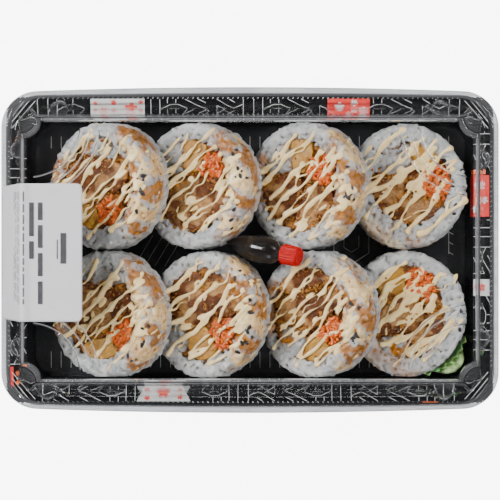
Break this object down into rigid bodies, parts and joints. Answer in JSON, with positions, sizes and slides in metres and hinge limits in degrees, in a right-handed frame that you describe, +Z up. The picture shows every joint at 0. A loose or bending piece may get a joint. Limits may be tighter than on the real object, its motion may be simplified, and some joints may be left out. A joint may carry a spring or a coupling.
{
  "type": "takeaway sushi tray",
  "caption": "Shut takeaway sushi tray: black printed tray, clear ridged lid with a paper label, thick chicken rolls with mayonnaise, sauce bottle, wasabi and plastic leaf.",
  "frame": {"origin": "under the middle of the tray, on the surface it stands on", "axes": "+X along the long side, towards the flat rolls; +Y along the short side; +Z up"},
  "size_m": [0.24, 0.1568, 0.0524],
  "materials": {
    "tray_plastic": "thin black pressed plastic, satin, printed with fine pale lines and small flower patches",
    "lid_plastic": "thin clear pressed plastic, glossy; it stands for clear plastic",
    "paper": "white coated paper with plain grey bars",
    "rice": "cooked short-grain rice, slightly sticky and translucent, dressed with cream mayonnaise, brown glaze and black sesame",
    "nori": "damp dried seaweed, near black, slightly wrinkled",
    "chicken": "breaded fried chicken, pale meat with a golden brown crumb",
    "carrot": "shredded raw carrot, moist",
    "pickle": "yellow pickled radish, moist and slightly translucent",
    "sauce_bottle": "small soft bottle full of dark soy sauce, glossy",
    "cap_plastic": "red moulded screw cap",
    "leaf_plastic": "thin green plastic film, toothed along one edge",
    "wasabi": "pale green wasabi paste"
  },
  "bodies": {
    "root": {"bottle_cap": "cap_plastic", "label": "paper", "leaf": "leaf_plastic", "lid": "lid_plastic", "roll_1_carrot": "carrot", "roll_1_chicken_a": "chicken", "roll_1_core_rice": "rice", "roll_1_nori": "nori", "roll_1_pickle": "pickle", "roll_1_rice": "rice", "roll_2_carrot": "carrot", "roll_2_chicken_a": "chicken", "roll_2_core_rice": "rice", "roll_2_nori": "nori", "roll_2_pickle": "pickle", "roll_2_rice": "rice", "roll_3_carrot": "carrot", "roll_3_chicken_a": "chicken", "roll_3_chicken_b": "chicken", "roll_3_core_rice": "rice", "roll_3_nori": "nori", "roll_3_pickle": "pickle", "roll_3_rice": "rice", "roll_4_carrot": "carrot", "roll_4_chicken_a": "chicken", "roll_4_chicken_b": "chicken", "roll_4_core_rice": "rice", "roll_4_nori": "nori", "roll_4_pickle": "pickle", "roll_4_rice": "rice", "roll_5_carrot": "carrot", "roll_5_chicken_a": "chicken", "roll_5_core_rice": "rice", "roll_5_nori": "nori", "roll_5_pickle": "pickle", "roll_5_rice": "rice", "roll_6_carrot": "carrot", "roll_6_chicken_a": "chicken", "roll_6_chicken_b": "chicken", "roll_6_core_rice": "rice", "roll_6_nori": "nori", "roll_6_pickle": "pickle", "roll_6_rice": "rice", "roll_7_carrot": "carrot", "roll_7_chicken_a": "chicken", "roll_7_chicken_b": "chicken", "roll_7_core_rice": "rice", "roll_7_nori": "nori", "roll_7_pickle": "pickle", "roll_7_rice": "rice", "roll_8_carrot": "carrot", "roll_8_chicken_a": "chicken", "roll_8_chicken_b": "chicken", "roll_8_core_rice": "rice", "roll_8_nori": "nori", "roll_8_pickle": "pickle", "roll_8_rice": "rice", "sauce_bottle": "sauce_bottle", "tray": "tray_plastic", "wasabi": "wasabi"}
  },
  "joints": []
}
